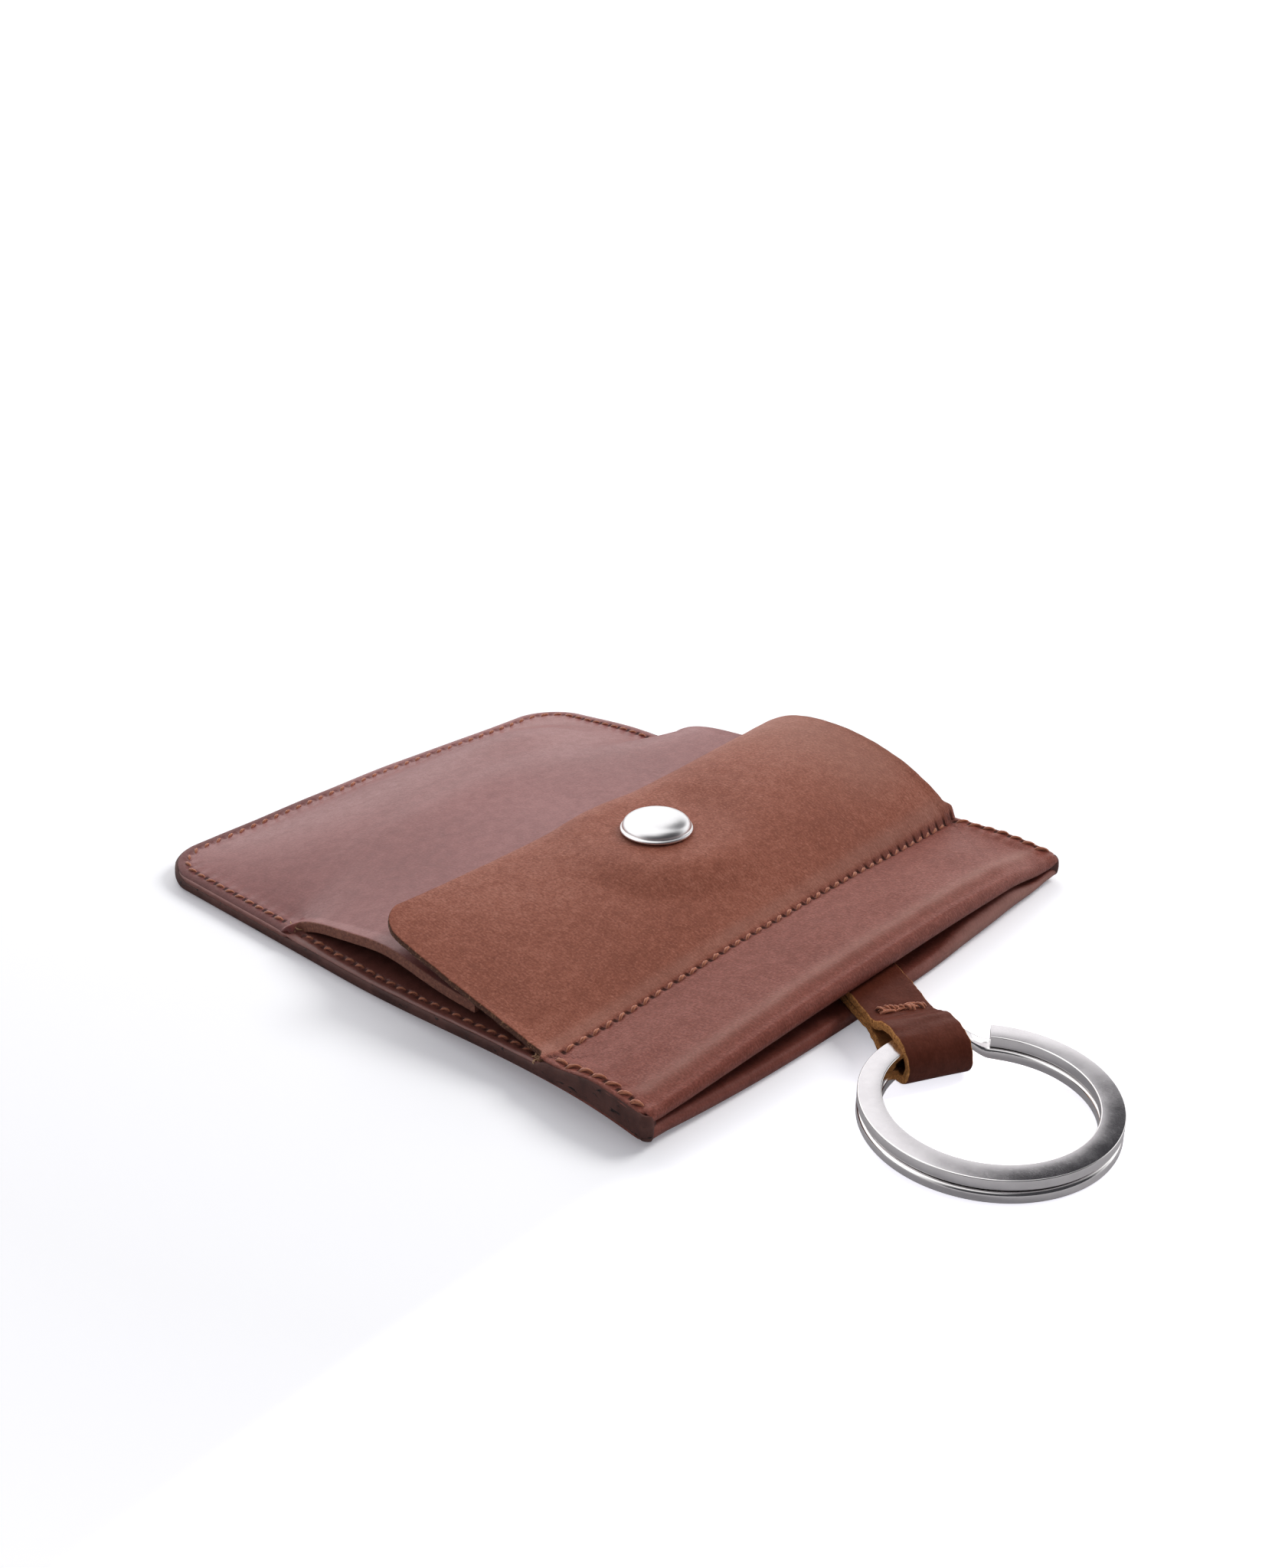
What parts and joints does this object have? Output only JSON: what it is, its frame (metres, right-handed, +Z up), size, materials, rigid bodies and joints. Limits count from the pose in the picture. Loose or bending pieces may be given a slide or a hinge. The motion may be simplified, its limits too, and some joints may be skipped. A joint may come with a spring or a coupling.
{
  "type": "leather key case",
  "caption": "Tapered leather key case with a snapped coin pocket flap, and a strap from its mouth that holds a split ring.",
  "frame": {"origin": "the middle of the flat underside of the back panel, on the surface that the case lies on", "axes": "+Z up, through the thickness; +Y from the open mouth and its ring to the closed round end; +X along the mouth, so that the strap leans toward -X"},
  "size_m": [0.09, 0.1397, 0.0145],
  "materials": {
    "leather_body": "waxed purplish-brown leather with a pale sheen and dark edges",
    "leather_flap": "matte warm brown leather with a fine grain",
    "leather_strap": "dark brown leather with raw tan edges",
    "nickel": "bright polished nickel plate",
    "thread": "waxed orange-brown thread"
  },
  "bodies": {
    "pouch": {"back_panel": "leather_body", "front_leather": "leather_body", "pocket_panel": "leather_body", "strap_tab": "leather_strap", "divider_thread_near": "thread", "divider_thread_far": "thread", "band_thread_near": "thread", "band_thread_far": "thread", "flap_line_thread": "thread", "round_end_thread": "thread"},
    "flap": {"flap": "leather_flap", "snap_cap": "nickel", "snap_socket": "nickel"},
    "tongue": {"pocket_tongue": "leather_body", "snap_stud": "nickel", "snap_post": "nickel"},
    "neck": {"strap_neck": "leather_strap"},
    "loop": {"strap_loop": "leather_strap", "strap_tack_thread": "thread"},
    "ring": {"split_ring": "nickel"}
  },
  "joints": [
    {"name": "flap_hinge", "type": "hinge", "parent": "pouch", "child": "flap", "pos_m": [0, -0.0308, 0.007], "axis": [1, 0, 0], "range_deg": [0, 110]},
    {"name": "tongue_lift", "type": "hinge", "parent": "pouch", "child": "tongue", "pos_m": [0, 0.0197, 0.00854], "axis": [1, 0, 0], "range_deg": [-16.5, 0]},
    {"name": "strap_swing", "type": "hinge", "parent": "pouch", "child": "neck", "pos_m": [0, -0.045, 0.00355], "axis": [0, 0, 1], "range_deg": [-6, 64]},
    {"name": "strap_lift", "type": "hinge", "parent": "neck", "child": "loop", "pos_m": [-0.00461, -0.05331, 0.00355], "axis": [-0.8746, 0.4848, 0], "range_deg": [-45, 40]},
    {"name": "ring_swing", "type": "hinge", "parent": "loop", "child": "ring", "pos_m": [-0.00979, -0.06267, 0.00355], "axis": [-0.8746, 0.4848, 0], "range_deg": [-60, 45]}
  ],
  "couplings": [
    {"joint": "tongue_lift", "follows": "flap_hinge", "ratio": -0.15}
  ]
}
